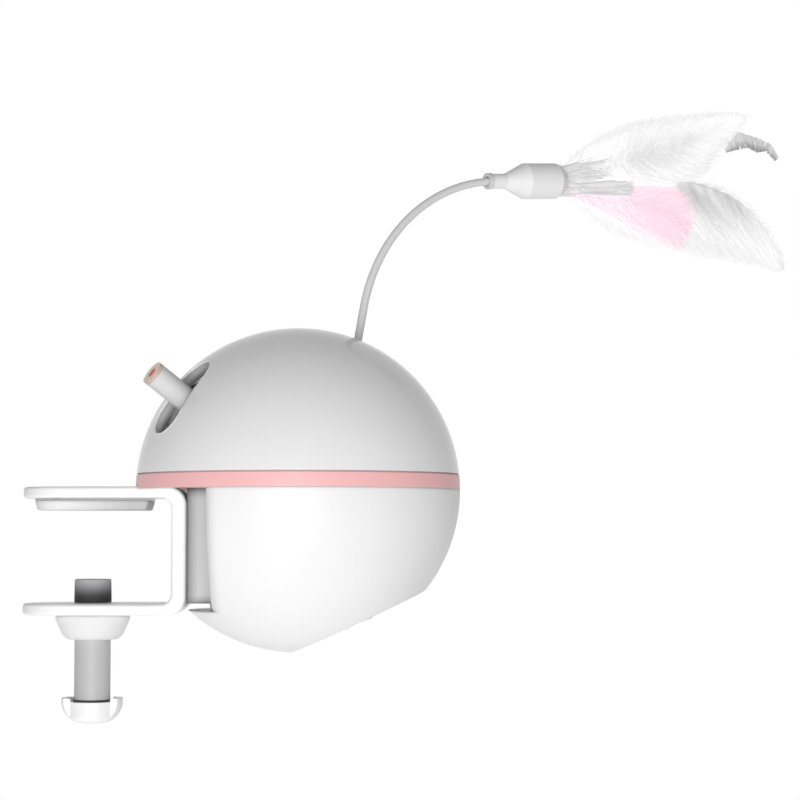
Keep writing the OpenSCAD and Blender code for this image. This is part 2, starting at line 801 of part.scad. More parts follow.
// Control face
module panel_cover() {
    color("white") at_face() difference() {
        union() {
            translate([0, 0, -panel_t]) cylinder(r = panel_r, h = panel_t);
            pillars() translate([0, 0, -board_depth])
                cylinder(r = pillar_r, h = board_depth - panel_t + cut);
        }
        translate([button_at[0], button_at[1], -far]) cylinder(r = button_r + pass_gap / 2, h = 2 * far);
        translate([light_at[0], light_at[1], -far]) cylinder(r = light_r + seat_fit, h = 2 * far);
        translate([port_at[0], port_at[1], -far]) linear_extrude(2 * far)
            stadium(port_w + 2 * seat_fit, port_h + 2 * seat_fit);
        around(panel_screw_dirs, panel_screw_ring) {
            translate([0, 0, -far]) cylinder(r = panel_screw_core + seat_fit, h = 2 * far);
            translate([0, 0, screw_sink - screw_head_h]) cylinder(r = panel_screw_head + seat_fit, h = far);
        }
        pillars() translate([0, 0, -board_depth - cut])
            cylinder(r = panel_screw_core + seat_fit, h = pillar_bore + cut);
    }
}
module pillars() { for (x = [-1, 1], y = [-1, 1]) translate([x * pillar_at, y * pillar_at, 0]) children(); }
module panel_screws() {
    color("silver") at_face() around(panel_screw_dirs, panel_screw_ring)
        translate([0, 0, screw_sink - screw_head_h])
            pan_screw(panel_screw_head, screw_head_h - 2 * screw_sink, panel_screw_core, panel_screw_l);
}
module main_board() {
    color("seagreen") at_face() difference() {
        translate([-board_w / 2, -board_w / 2, -board_depth - board_t]) cube([board_w, board_w, board_t]);
        pillars() translate([0, 0, -far]) cylinder(r = panel_screw_core + seat_fit, h = far);
    }
}
module board_screws() {
    color("silver") at_face() pillars() translate([0, 0, -board_depth - board_t]) mirror([0, 0, 1])
        pan_screw(panel_screw_head, small_head_h, panel_screw_core, board_screw_l);
}
module charge_socket() {
    length = board_depth - port_sink;
    color("silver") at_face() translate([port_at[0], port_at[1], -board_depth]) difference() {
        linear_extrude(length) stadium(port_w, port_h);
        translate([0, 0, port_floor]) linear_extrude(length)
            stadium(port_w - 2 * port_wall, port_h - 2 * port_wall);
    }
}
module socket_tongue() {
    color("dimgray") at_face() translate([port_at[0], port_at[1], port_floor - board_depth])
        linear_extrude(tongue_l) square([tongue_w, tongue_h], center = true);
}
module tact_switch() {
    plunger_h = board_depth - panel_t - button_lip_t - button_foot - button_travel - plunger_gap;
    color("dimgray") at_face() translate([button_at[0], button_at[1], -board_depth]) {
        translate([-switch_w / 2, -switch_w / 2, 0]) cube([switch_w, switch_w, plunger_h - plunger_out]);
        cylinder(r = plunger_r, h = plunger_h);
    }
}
module status_light() {
    color("honeydew") at_face() translate([light_at[0], light_at[1], -board_depth]) {
        cylinder(r = light_r, h = board_depth);
        translate([0, 0, board_depth]) intersection() {
            translate([0, 0, -light_r]) sphere(light_r * sqrt(2));
            cylinder(r = light_r, h = light_r);
        }
    }
}
module power_button() {
    color("white") at_face() translate([button_at[0], button_at[1], -panel_t]) {
        translate([0, 0, -button_lip_t]) cylinder(r = button_r, h = panel_t + button_lip_t + button_proud);
        translate([0, 0, -button_lip_t - seat_fit]) cylinder(r = button_r + button_lip, h = button_lip_t);
        translate([0, 0, -button_lip_t - button_foot]) cylinder(r = plunger_r, h = button_foot + cut);
    }
}

// Power and drive
module battery_cell() {
    color("steelblue") at_ball() translate([cell_mid - cell_l / 2, cell_y, cell_z]) rotate([0, 90, 0])
        cylinder(r = cell_r, h = cell_l);
}
module battery_clips() {
    // Two spring clips under the deck, open downwards
    bore = cell_r + seat_fit;
    outer = bore + clip_wall;
    color("dimgray") at_ball() for (side = [-1, 1])
        translate([side * clip_out - clip_w / 2, cell_y, 0]) rotate([90, 0, 90])
            linear_extrude(clip_w) difference() {
                union() {
                    translate([0, cell_z]) circle(outer);
                    translate([-outer, cell_z]) square([2 * outer, deck_low - cell_z]);
                }
                translate([0, cell_z]) circle(bore);
                translate([-clip_mouth / 2, cell_z - 2 * outer]) square([clip_mouth, 2 * outer]);
            }
}
module drive_motor() {
    color("silver") at_motor() difference() {
        union() {
            translate([-motor_d / 2, -motor_w / 2, deck_low - gearbox_l])
                cube([motor_d, motor_w, gearbox_l]);
            translate([0, 0, deck_low - gearbox_l - can_l]) intersection() {
                cylinder(d = motor_w, h = can_l);
                translate([-motor_d / 2, -motor_w / 2, 0]) cube([motor_d, motor_w, can_l]);
            }
        }
        translate([0, 0, deck_low - shaft_sink - shaft_room]) cylinder(r = shaft_r + run_fit, h = far);
    }
}
module strap_ears() {
    for (side = [-1, 1]) translate([0, side * (motor_w / 2 + strap_t + ear_l / 2), 0]) children();
}
module motor_bracket() {
    // Strap round the gearbox, with an ear at each side under the deck
    width = motor_w + 2 * (strap_t + ear_l);
    depth = motor_d - 2 * strap_inset;
    color("gray") at_motor() difference() {
        union() {
            translate([-depth / 2, -motor_w / 2 - strap_t, deck_low - gearbox_l + strap_inset])
                cube([depth, motor_w + 2 * strap_t, gearbox_l - strap_inset]);
            translate([-depth / 2, -width / 2, deck_low - strap_t]) cube([depth, width, strap_t]);
        }
        translate([-far, -motor_w / 2 - seat_fit, -far]) cube([2 * far, motor_w + 2 * seat_fit, 2 * far]);
        strap_ears() translate([0, 0, -far / 2]) cylinder(r = screw_core + seat_fit, h = far);
    }
}
module motor_screws() {
    color("silver") at_motor() strap_ears() translate([0, 0, deck_low - strap_t]) mirror([0, 0, 1])
        pan_screw(screw_head, screw_head_h, screw_core, strap_t + deck_t - screw_sink);
}
module motor_shaft() {
    color("silver") at_motor() translate([0, 0, deck_low - shaft_sink])
        cylinder(r = shaft_r, h = hub_low + gear_t - deck_low + shaft_sink);
}
module drive_pinion() {
    spin = pinion_phase - motor_dir;
    color("ivory") at_motor() rotate([0, 0, spin]) translate([0, 0, hub_low]) difference() {
        gear(pinion_teeth, gear_t - pass_gap);
        translate([0, 0, -cut]) cylinder(r = shaft_r + seat_fit, h = far);
    }
}
module dome_gear() {
    color("ivory") at_head() translate([0, 0, hub_low]) difference() {
        gear(gear_teeth, gear_t);
        translate([0, 0, -cut]) cylinder(r = hub_r + seat_fit, h = far);
    }
}
module spindle() {
    color("gainsboro") at_ball() difference() {
        union() {
            translate([0, 0, deck_top]) cylinder(r = flange_r, h = flange_t);
            translate([0, 0, deck_top]) cylinder(r = spindle_r, h = stem_top - deck_top);
        }
        translate([0, 0, deck_top - cut]) cylinder(r = wire_r, h = far);
        translate([0, 0, clip_low - seat_fit])
            ring(spindle_r + cut, spindle_r - groove_depth, clip_t + 2 * seat_fit);
        around(thirds, spindle_bolt_ring) translate([0, 0, deck_top - cut])
            cylinder(r = panel_screw_core + seat_fit, h = far);
    }
}
module spindle_screws() {
    color("silver") at_ball() around(thirds, spindle_bolt_ring)
        translate([0, 0, deck_low]) mirror([0, 0, 1])
            pan_screw(panel_screw_head, screw_head_h, panel_screw_core, flange_top - deck_low - screw_sink);
}
module thrust_washer() {
    color("goldenrod") at_ball() translate([0, 0, flange_top])
        ring(flange_r, spindle_r + seat_fit, washer_t);
}
module retaining_ring() {
    color("silver") at_ball() translate([0, 0, clip_low]) difference() {
        ring(clip_r, spindle_r - groove_depth + seat_fit, clip_t);
        translate([0, -spindle_r / 2, -cut]) cube([far, spindle_r, clip_t + 2 * cut]);
    }
}
module slip_ring() {
    color("dimgray") at_ball() {
        translate([0, 0, deck_low - slip_tail])
            cylinder(r = slip_r, h = stem_top - deck_low + slip_tail + cut);
        translate([0, 0, stem_top]) cylinder(r = slip_cap_r, h = slip_cap_t);
    }
}

// Head
module at_laser_slot() { at_pivot() rotate([0, 0, 90]) children(); }
module laser_slot(grow) { linear_extrude(far) rotate(90) stadium(slot_l + 2 * grow, slot_w + 2 * grow); }
module dome_shell() {
    color("white") {
        difference() {
            union() {
                difference() {
                    at_ball() sphere(ball_r);
                    difference() {
                        at_ball() sphere(inner_r);
                        at_head() around(quarters, table_screw_r) translate([0, 0, table_top])
                            cylinder(r = post_r, h = far);
                    }
                }
                intersection() {
                    at_laser_slot() laser_slot(rim_w);
                    at_ball() sphere(ball_r - shell_wall / 2);
                }
            }
            at_ball() below(dome_low);
            at_laser_slot() laser_slot(0);
            at_pivot() rotate([90, 0, 0])
                cylinder(r = drum_r + rim_gap, h = drum_w + 2 * rim_gap, center = true);
            at_wand() translate([0, 0, -far / 2]) cylinder(r = socket_r + seat_fit, h = far);
            at_head() around(quarters, table_screw_r)
                cylinder(r = screw_core + seat_fit, h = table_top + screw_bite);
        }
    }
}
module turntable() {
    color("gainsboro") at_head() difference() {
        union() {
            translate([0, 0, table_low]) cylinder(r = table_r, h = table_t);
            translate([0, 0, hub_low]) cylinder(r = hub_r, h = hub_top - hub_low);
        }
        cylinder(r = bush_r + seat_fit, h = far);
        translate([-far - hub_r - notch_gap, -yoke_in + pass_gap / 2, 0])
            cube([far, 2 * yoke_in - pass_gap, far]);
        around(quarters, table_screw_r) cylinder(r = screw_core + seat_fit, h = far);
    }
}
module turntable_screws() {
    color("silver") at_head() around(quarters, table_screw_r) translate([0, 0, table_low]) mirror([0, 0, 1])
        pan_screw(screw_head, screw_head_h, screw_core, table_t + screw_bite - screw_spare);
}
module hub_bush() {
    color("goldenrod") at_head() translate([0, 0, hub_low])
        ring(bush_r, spindle_r + run_fit, hub_top - hub_low);
}
module slip_ring_bridge() {
    // Arm that turns the upper half of the slip ring with the turntable
    low = stem_top + slip_cap_t + bridge_gap;
    color("dimgray") at_head() rotate([0, 0, 90]) {
        translate([0, 0, low]) cylinder(r = bridge_w / 2, h = bridge_t);
        translate([0, -bridge_w / 2, low]) cube([bridge_out, bridge_w, bridge_t]);
        translate([bridge_out - bridge_foot, -bridge_w / 2, table_top])
            cube([bridge_foot, bridge_w, low - table_top + cut]);
    }
}
module laser_yoke() {
    // Two ears beside the light tube's carrier
    color("gainsboro") at_head() for (side = [-1, 1]) difference() {
        union() {
            translate([pivot_pos[0] - yoke_w / 2, side > 0 ? yoke_in : -yoke_in - yoke_t, table_top])
                cube([yoke_w, yoke_t, pivot_pos[2] - table_top]);
            translate([pivot_pos[0], side > 0 ? yoke_in + yoke_t : -yoke_in, pivot_pos[2]])
                rotate([90, 0, 0])
                cylinder(d = yoke_w, h = yoke_t);
        }
        translate(pivot_pos) rotate([90, 0, 0]) cylinder(r = pin_r + seat_fit, h = far, center = true);
        below(table_top);
    }
}
module laser_pin() {
    span = 2 * (yoke_in + yoke_t);
    color("silver") at_head() translate(pivot_pos) rotate([90, 0, 0]) {
        cylinder(r = pin_r, h = span, center = true);
        for (side = [-1, 1]) translate([0, 0, side * (span + pin_head_t) / 2])
            cylinder(r = pin_head_r, h = pin_head_t, center = true);
    }
}
module wand_socket() {
    // Post from the turntable to the dome, bored for the wand's rod
    color("white") difference() {
        union() {
            at_wand() translate([0, 0, -far]) cylinder(r = socket_r, h = far + socket_lip);
            at_wand() translate([0, 0, -socket_len]) cylinder(r = socket_foot_r, h = socket_foot_t);
        }
        at_head() below(table_top);
        at_head() cylinder(r = hub_r + pass_gap, h = hub_top + pass_gap);
        at_wand() translate([0, 0, -rod_plug - seat_fit]) cylinder(r = rod_r + run_fit, h = far);
    }
}

// Light tube
module drum_sector(radius) {
    // Wedge round the tilt axis, about the tube's direction
    reach = 2 * radius;
    polygon([
        [0, 0], polar(reach, 90 - drum_half), polar(reach, 90), polar(reach, 90 + drum_half)
    ]);
}
module laser_carrier() {
    core = drum_r - drum_t;
    color("gainsboro") at_pivot() difference() {
        union() {
            rotate([90, 0, 0]) linear_extrude(drum_w, center = true) difference() {
                intersection() {
                    circle(drum_r);
                    drum_sector(drum_r);
                }
                circle(core);
            }
            for (side = [-1, 1]) translate([0, side * (drum_w - cheek_t) / 2, 0]) rotate([90, 0, 0])
                linear_extrude(cheek_t, center = true) {
                    intersection() {
                        circle(core + drum_t / 2);
                        polygon([[-hub_boss_r, 0], [hub_boss_r, 0], polar(drum_r, 60), polar(drum_r, 120)]);
                    }
                    circle(hub_boss_r);
                }
        }
        rotate([90, 0, 0]) cylinder(r = pin_r + run_fit, h = far, center = true);
        cylinder(r = tube_r + seat_fit, h = far);
    }
}
module laser_tube() {
    color("white") at_pivot() difference() {
        translate([0, 0, tube_back]) cylinder(r = tube_r, h = tube_front - bezel_t - tube_back);
        translate([0, 0, tube_back - cut]) cylinder(r = tube_r - tube_wall, h = far);
    }
}
module laser_bezel() {
    color("linen") at_pivot() translate([0, 0, tube_front - bezel_t])
        ring(tube_r, lens_r + seat_fit, bezel_t);
}
module laser_lens() {
    color("red") at_pivot() translate([0, 0, tube_front - lens_t - lens_sink])
        cylinder(r = lens_r, h = lens_t);
}
module laser_module() {
    color("goldenrod") at_pivot() translate([0, 0, tube_front - bezel_t - module_l])
        cylinder(r = tube_r - tube_wall - seat_fit, h = module_l);
}

// Wand and feathers
module wand_rod() {
    color("silver") {
        at_wand() translate([0, 0, -rod_plug]) cylinder(r = rod_r, h = rod_plug + rod_straight + bend_lap);
        at_wand() translate([bend_r, 0, rod_straight]) rotate([90, 0, 0]) rotate([0, 0, 180 - bend_sweep])
            rotate_extrude(angle = bend_sweep) translate([bend_r, 0]) circle(rod_r - bend_thin);
        at_holder() translate([0, 0, -bend_lap]) cylinder(r = rod_r, h = rod_tail + bend_lap);
    }
}
module feather_holder() {
    bore = rod_r + run_fit;
    color("white") at_holder() rotate_extrude() difference() {
        polygon([
            [0, sleeve_low], [sleeve_r - collar_ring_t / 2, sleeve_low],
            [sleeve_r - collar_ring_t / 2, sleeve_low + collar_ring_l],
            [sleeve_r, sleeve_low + collar_ring_l], [sleeve_r, cone_low], [bell_r, cone_end],
            [bell_r, bell_end], [mouth_r, mouth_end], [0, mouth_end]
        ]);
        polygon([
            [0, sleeve_low - cut], [relief_r, sleeve_low - cut], [relief_r, -bend_lap - relief_r],
            [bore, -bend_lap], [bore, rod_tail + seat_fit], [0, rod_tail + seat_fit]
        ]);
        translate([0, hollow_low]) square([hollow_r, hollow_l + cut]);
    }
}
module holder_collar() {
    inner = sleeve_r - collar_ring_t / 2 + seat_fit / 2;
    color("dimgray") at_holder() translate([0, 0, sleeve_low])
        ring(sleeve_r + collar_ring_t / 2, inner, collar_ring_l - seat_fit);
}
module quill_plug() {
    color("ivory") at_holder() translate([0, 0, hollow_low]) cylinder(r = hollow_r - seat_fit, h = plug_t);
}
module feather_upper() { color("white") feather(upper_curve, upper_vane, upper_side); }
module feather_lower() { color("white") feather(lower_curve, lower_vane, lower_side); }
module feather_pink() { color("pink") feather(pink_curve, pink_vane, pink_side); }
module feather_tip() { color("gray") feather(tip_curve, tip_vane, tip_side); }

lower_shell();
trim_ring();
base_deck();
deck_screws();
clamp_bracket();
bracket_neck();
bracket_screws();
jaw_pad();
screw_collar();
panel_cover();
panel_screws();
main_board();
board_screws();
charge_socket();
socket_tongue();
tact_switch();
status_light();
battery_cell();
battery_clips();
drive_motor();
motor_bracket();
motor_screws();
spindle();
spindle_screws();
thrust_washer();
retaining_ring();
slip_ring();
dome_shell();
turntable();
turntable_screws();
dome_gear();
hub_bush();
slip_ring_bridge();
laser_yoke();
laser_pin();
wand_socket();
drive_pinion();
motor_shaft();
laser_carrier();
laser_tube();
laser_module();
laser_lens();
laser_bezel();
wand_rod();
feather_holder();
holder_collar();
quill_plug();
feather_upper();
feather_lower();
feather_pink();
feather_tip();
tip_cap();
clamp_rod();
clamp_knob();
power_button();
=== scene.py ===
import json
import math
import random
from collections import namedtuple

import bmesh
import bpy
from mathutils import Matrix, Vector


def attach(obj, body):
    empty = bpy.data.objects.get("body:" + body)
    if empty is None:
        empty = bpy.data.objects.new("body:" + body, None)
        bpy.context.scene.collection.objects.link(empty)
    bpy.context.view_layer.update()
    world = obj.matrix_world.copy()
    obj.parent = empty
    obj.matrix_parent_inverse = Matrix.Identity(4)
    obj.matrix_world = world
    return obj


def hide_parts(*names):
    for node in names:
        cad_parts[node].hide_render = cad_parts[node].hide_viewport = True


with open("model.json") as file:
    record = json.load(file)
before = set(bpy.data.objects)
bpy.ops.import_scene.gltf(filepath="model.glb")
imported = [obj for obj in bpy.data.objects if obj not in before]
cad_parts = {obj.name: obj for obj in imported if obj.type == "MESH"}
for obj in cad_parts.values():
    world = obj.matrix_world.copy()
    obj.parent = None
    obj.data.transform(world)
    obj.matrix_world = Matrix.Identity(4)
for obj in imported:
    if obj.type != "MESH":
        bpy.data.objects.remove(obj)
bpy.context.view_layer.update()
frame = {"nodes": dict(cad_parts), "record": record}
nodes = frame["nodes"]
joints = {joint["name"]: joint for joint in frame["record"]["behaviour"]["joints"]}
slot_of = {sub["node"]: sub["material_slot"] for sub in frame["record"]["subparts"]}
scene = bpy.context.scene
scene.view_settings.view_transform = "Standard"

# Lengths in this script are in millimetres, and MM turns them into the frame's metres
MM = 0.001
RIGHT = Vector((1.0, 0.0, 0.0))
BACK = Vector((0.0, 1.0, 0.0))
UP = Vector((0.0, 0.0, 1.0))


def link(obj):
    scene.collection.objects.link(obj)
    return obj


def corners(node):
    """The node's points."""
    obj = nodes[node]
    return [obj.matrix_world @ v.co / MM for v in obj.data.vertices]


def span(node, axis):
    """Least and greatest reach of a node along an axis."""
    reaches = [p.dot(axis) for p in corners(node)]
    return min(reaches), max(reaches)


def middle(node, axis):
    return sum(span(node, axis)) / 2


# Places taken from the frame: the ball, the light tube's aim and the feathers' own directions
BALL = Vector(joints["dome_turn"]["pos_m"]) / MM
BALL_R = span("lower_shell", BACK)[1]
PIVOT = Vector(joints["laser_tilt"]["pos_m"]) / MM
TILT = Vector(joints["laser_tilt"]["axis"])
AIM = (PIVOT - BALL).normalized()
ALONG = Vector(joints["holder_pull"]["axis"])
SIDE = TILT
ABOVE = ALONG.cross(SIDE)
QUILLS = (ALONG * span("quill_plug", ALONG)[1] + ABOVE * middle("quill_plug", ABOVE)
          + SIDE * middle("quill_plug", SIDE))

# Camera at the photograph's viewing angle
CAMERA_AT = Vector((94.72, -700.0, -6.99))
CAMERA_TURN = math.radians(93.37)
camera_data = bpy.data.cameras.new("camera")
camera_data.sensor_width = 36.0
camera_data.lens = 101.75
camera_data.clip_start = 10.0 * MM
camera = link(bpy.data.objects.new("camera", camera_data))
camera.location = CAMERA_AT * MM
camera.rotation_euler = (CAMERA_TURN, 0.0, 0.0)
scene.camera = camera


# Shader helpers
class Shader:
    """Makes and joins the nodes of one tree."""

    def __init__(self, tree):
        self.tree = tree
        tree.nodes.clear()

    def add(self, kind, sockets=None, **settings):
        node = self.tree.nodes.new(kind)
        for key, value in settings.items():
            setattr(node, key, value)
        for key, value in (sockets or {}).items():
            node.inputs[key].default_value = value
        return node

    def join(self, out, into):
        self.tree.links.new(out, into)


def material(name):
    mat = bpy.data.materials.new(name)
    mat.use_nodes = True
    return mat, Shader(mat.node_tree)


def grey(level):
    return (level, level, level)


# Painted shade: a colour that darkens along an axis, from pale to dark, with share left of it at the dark
# end.
# It goes by Generated, shares of the piece's box, or by Normal, the way that the surface faces
Fade = namedtuple("Fade", "by axis dark pale share")

# Cloudy patches in each metre, the swing of the gloss, and the strength of the grain's relief
CLOUDS = 55.0
GLOSS_SWING = 0.06
RELIEF = 0.25


def multiplied(s, colour, factor):
    """The product of two colour outputs."""
    product = s.add("ShaderNodeMix", {"Factor": 1.0}, data_type="RGBA", blend_type="MULTIPLY")
    s.join(colour, product.inputs["A"])
    s.join(factor, product.inputs["B"])
    return product.outputs["Result"]


def shade_faded(s, spot, colour, shade_fade):
    """A colour output, darkened along a fade by painted shade."""
    split = s.add("ShaderNodeSeparateXYZ")
    ramp = s.add("ShaderNodeMapRange", {"From Min": shade_fade.dark, "From Max": shade_fade.pale, "To Min": shade_fade.share},
                 interpolation_type="SMOOTHSTEP")
    s.join(spot.outputs[shade_fade.by], split.inputs["Vector"])
    s.join(split.outputs[shade_fade.axis], ramp.inputs["Value"])
    return multiplied(s, colour, ramp.outputs["Result"])


def moulded(name, colour, rough=0.35, spec=0.3, vary=0.02, grain=0.004, grain_scale=2600.0, metal=0.0,
            edge=0.3, brushed=(1.0, 1.0, 1.0), shade_fade=None):
    """Plastic, rubber or metal: cloudy colour, uneven gloss, a fine grain and edges that catch the light.

    vary is the swing of the colour, grain the depth of the grain and grain_scale its count in each metre.
    brushed draws the grain out along an axis, and edge is the radius that the edges seem to have.
    A fade, if given, darkens the colour along an axis as painted shade.
    """
    mat, s = material(name)
    out = s.add("ShaderNodeOutputMaterial")
    bsdf = s.add("ShaderNodeBsdfPrincipled", {"Metallic": metal, "Specular IOR Level": spec})
    spot = s.add("ShaderNodeTexCoord")
    cloud = s.add("ShaderNodeTexNoise", {"Scale": CLOUDS, "Detail": 3.0})
    tint = s.add("ShaderNodeMix", data_type="RGBA")
    tint.inputs["A"].default_value = [c * (1.0 - vary) for c in colour] + [1.0]
    tint.inputs["B"].default_value = [min(1.0, c * (1.0 + vary)) for c in colour] + [1.0]
    stretch = s.add("ShaderNodeMapping", {"Scale": brushed})
    fine = s.add("ShaderNodeTexNoise", {"Scale": grain_scale, "Detail": 2.0})
    gloss = s.add("ShaderNodeMapRange", {"To Min": rough - GLOSS_SWING, "To Max": rough + GLOSS_SWING})
    rounding = s.add("ShaderNodeBevel", {"Radius": edge * MM}, samples=6)
    bump = s.add("ShaderNodeBump", {"Strength": RELIEF, "Distance": grain * MM})
    s.join(spot.outputs["Object"], cloud.inputs["Vector"])
    s.join(cloud.outputs["Fac"], tint.inputs["Factor"])
    base = tint.outputs["Result"]
    # Painted shade, where a fade is given
    if shade_fade:
        base = shade_faded(s, spot, base, shade_fade)
    s.join(base, bsdf.inputs["Base Color"])
    s.join(spot.outputs["Object"], stretch.inputs["Vector"])
    s.join(stretch.outputs["Vector"], fine.inputs["Vector"])
    s.join(fine.outputs["Fac"], gloss.inputs["Value"])
    s.join(gloss.outputs["Result"], bsdf.inputs["Roughness"])
    s.join(fine.outputs["Fac"], bump.inputs["Height"])
    s.join(rounding.outputs["Normal"], bump.inputs["Normal"])
    s.join(bump.outputs["Normal"], bsdf.inputs["Normal"])
    s.join(bsdf.outputs["BSDF"], out.inputs["Surface"])
    return mat


# Share of the light that shines through a feather's barbs
SEE_THROUGH = 0.25


def barbed(name, pale, deep):
    """Feather: each barb carries its own mix of two colours and its own brightness as a point colour."""
    mat, s = material(name)
    out = s.add("ShaderNodeOutputMaterial")
    bsdf = s.add("ShaderNodeBsdfPrincipled",
                 {"Roughness": 0.9, "Specular IOR Level": 0.1, "Sheen Weight": 0.2})
    tone = s.add("ShaderNodeAttribute", attribute_name="tone")
    split = s.add("ShaderNodeSeparateColor")
    blend = s.add("ShaderNodeMix", data_type="RGBA")
    blend.inputs["A"].default_value = (*pale, 1.0)
    blend.inputs["B"].default_value = (*deep, 1.0)
    through = s.add("ShaderNodeBsdfTranslucent")
    soft = s.add("ShaderNodeMixShader", {"Fac": SEE_THROUGH})
    s.join(tone.outputs["Color"], split.inputs["Color"])
    s.join(split.outputs["Red"], blend.inputs["Factor"])
    shade = multiplied(s, blend.outputs["Result"], split.outputs["Green"])
    s.join(shade, bsdf.inputs["Base Color"])
    s.join(shade, through.inputs["Color"])
    s.join(bsdf.outputs["BSDF"], soft.inputs[1])
    s.join(through.outputs["BSDF"], soft.inputs[2])
    s.join(soft.outputs["Shader"], out.inputs["Surface"])
    return mat


# Materials, one for each slot of the record
LOOKS = {
    "white_gloss": dict(colour=grey(0.90)),
    "clamp_white": dict(colour=grey(0.88), rough=0.40),
    "pink_gloss": dict(colour=(0.87, 0.48, 0.48)),
    # Painted shade: the jaw pad darkens towards its end by the bracket's back wall
    "pad_rubber": dict(colour=grey(0.79), rough=0.75, spec=0.2, vary=0.04, grain=0.02, grain_scale=1500.0,
                       edge=1.5, shade_fade=Fade("Generated", "X", dark=1.0, pale=0.1, share=0.62)),
    # Painted shade: the soft tip darkens towards its foot at the jaw
    "tip_rubber": dict(colour=(0.46, 0.46, 0.47), rough=0.70, vary=0.08, grain=0.02, grain_scale=1500.0,
                       shade_fade=Fade("Generated", "Z", dark=0.2, pale=1.1, share=0.10)),
    "screw_grey": dict(colour=grey(0.50), rough=0.45, vary=0.05, brushed=(1.0, 1.0, 0.02)),
    "inner_plastic": dict(colour=grey(0.60), rough=0.5, vary=0.04),
    "dark_plastic": dict(colour=(0.05, 0.05, 0.055), rough=0.5, vary=0.10),
    "collar_grey": dict(colour=grey(0.66), rough=0.5, vary=0.06),
    "gear_plastic": dict(colour=(0.80, 0.77, 0.66), rough=0.5, vary=0.04),
    "steel": dict(colour=(0.56, 0.56, 0.58), rough=0.32, metal=1.0, vary=0.05, brushed=(1.0, 0.05, 1.0)),
    "bearing_brass": dict(colour=(0.72, 0.52, 0.24), rough=0.3, metal=1.0, vary=0.06,
                          brushed=(1.0, 0.05, 1.0)),
    "board_green": dict(colour=(0.02, 0.14, 0.07), rough=0.4, vary=0.15),
    "cell_blue": dict(colour=(0.05, 0.15, 0.42), vary=0.06),
    "light_clear": dict(colour=(0.80, 0.88, 0.80), rough=0.25, spec=0.5, vary=0.04),
    "lens_red": dict(colour=(0.95, 0.12, 0.08), rough=0.4, spec=0.1, vary=0.10, edge=0.1),
    # Painted shade: the bezel is paler on faces that point out of the tube's end and darker where they turn
    # aside
    "bezel_cream": dict(colour=(0.98, 0.80, 0.68), rough=0.45,
                        shade_fade=Fade("Normal", "X", dark=-0.40, pale=-0.65, share=0.58)),
    "wand_grey": dict(colour=(0.66, 0.66, 0.67), rough=0.30, spec=0.45, vary=0.03, grain=0.001),
    "holder_white": dict(colour=grey(0.83), rough=0.45),
}
MATS = {slot: moulded(slot, **look) for slot, look in LOOKS.items()}
# Painted shade: the white feathers' grey stands for shade between their barbs and at their base
MATS["feather_white"] = barbed("feather_white", grey(0.88), grey(0.48))
MATS["feather_pink"] = barbed("feather_pink", (0.87, 0.81, 0.84), (0.86, 0.52, 0.63))
MATS["feather_grey"] = barbed("feather_grey", grey(0.70), grey(0.36))

# Pieces whose finish differs a little from the others of their slot
OWN = {
    "dome_shell": moulded("dome_white", grey(0.79), rough=0.16, spec=0.5, edge=0.5),
    "lower_shell": moulded("shell_white", grey(0.82), rough=0.38, edge=1.5),
    # Painted shade: the neck is a darker copy of the clamp's white, darkest next to the bracket
    "bracket_neck": moulded("neck_painted_shade", grey(0.53), rough=0.45, edge=1.5,
                            shade_fade=Fade("Generated", "X", dark=-0.1, pale=0.5, share=0.33)),
    "screw_collar": moulded("collar_white", grey(0.78), rough=0.40),
    "laser_tube": moulded("tube_white", grey(0.65), rough=0.4),
    # Painted shade: the light tube's drum is darkened to stand for the shade inside the slot
    "laser_carrier": moulded("drum_painted_shade", grey(0.38), rough=0.5, vary=0.05),
}
for node, obj in nodes.items():
    obj.data.materials.clear()
    obj.data.materials.append(OWN.get(node) or MATS[slot_of[node]])

# Rounding of the smaller pieces' sharp edges, after faces that lie in one plane are joined
ROUNDING = {"jaw_pad": 0.6, "tip_cap": 0.3, "screw_collar": 0.7}
ROUND_STEPS = 4
WELD = 0.002
FLAT = math.radians(0.5)
SHARP = math.radians(40)
for node, radius in ROUNDING.items():
    obj = nodes[node]
    weld = obj.modifiers.new("weld", "WELD")
    weld.merge_threshold = WELD * MM
    flats = obj.modifiers.new("flats", "DECIMATE")
    flats.decimate_type = "DISSOLVE"
    flats.angle_limit = FLAT
    bevel = obj.modifiers.new("rounding", "BEVEL")
    bevel.width = radius * MM
    bevel.segments = ROUND_STEPS
    bevel.limit_method = "ANGLE"
    bevel.angle_limit = SHARP
    bevel.harden_normals = True

# Clamp bracket with its outline rounded: straight sides and one round end, as seen from above
FRAME_ROUND = 1.0
TOUCH = 0.02
jaw_half = span("clamp_bracket", BACK)[1]
round_end_x = span("clamp_bracket", RIGHT)[0] + jaw_half


def on_outline(vert):
    x, y = vert.co.x / MM, vert.co.y / MM
    out = math.hypot(x - round_end_x, y) if x < round_end_x else abs(y)
    return abs(out - jaw_half) < TOUCH


